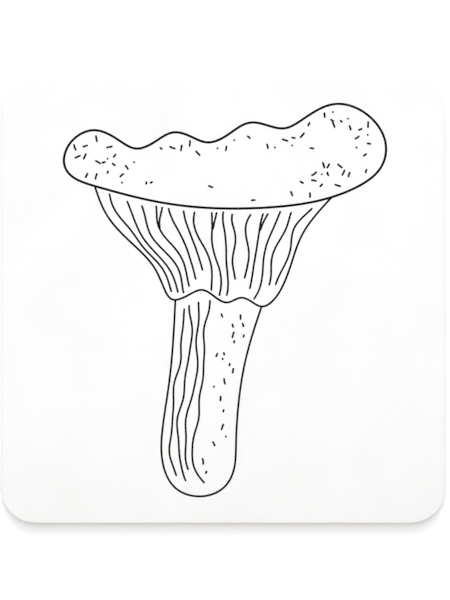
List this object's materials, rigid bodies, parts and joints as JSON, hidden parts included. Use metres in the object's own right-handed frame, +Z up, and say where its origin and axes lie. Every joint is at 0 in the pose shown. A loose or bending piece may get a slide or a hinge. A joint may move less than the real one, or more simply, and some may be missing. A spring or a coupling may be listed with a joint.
{
  "type": "square cork-backed drinks coaster",
  "caption": "Square drinks coaster with round corners: a gloss white printed hardboard tile on a thin cork pad.",
  "frame": {"origin": "centre of the cork pad's underside, in the plane that the coaster rests on", "axes": "+Z up through the layers to the printed face; +Y to the top of the printed drawing; +X to its right"},
  "size_m": [0.095, 0.095, 0.0048],
  "materials": {
    "cork": "matte",
    "glue": "satin",
    "hardboard": "matte",
    "coat": "gloss",
    "ink": "satin"
  },
  "bodies": {
    "root": {"cork_pad": "cork", "glue_film": "glue", "hardboard_core": "hardboard", "gloss_coat": "coat"}
  },
  "joints": []
}
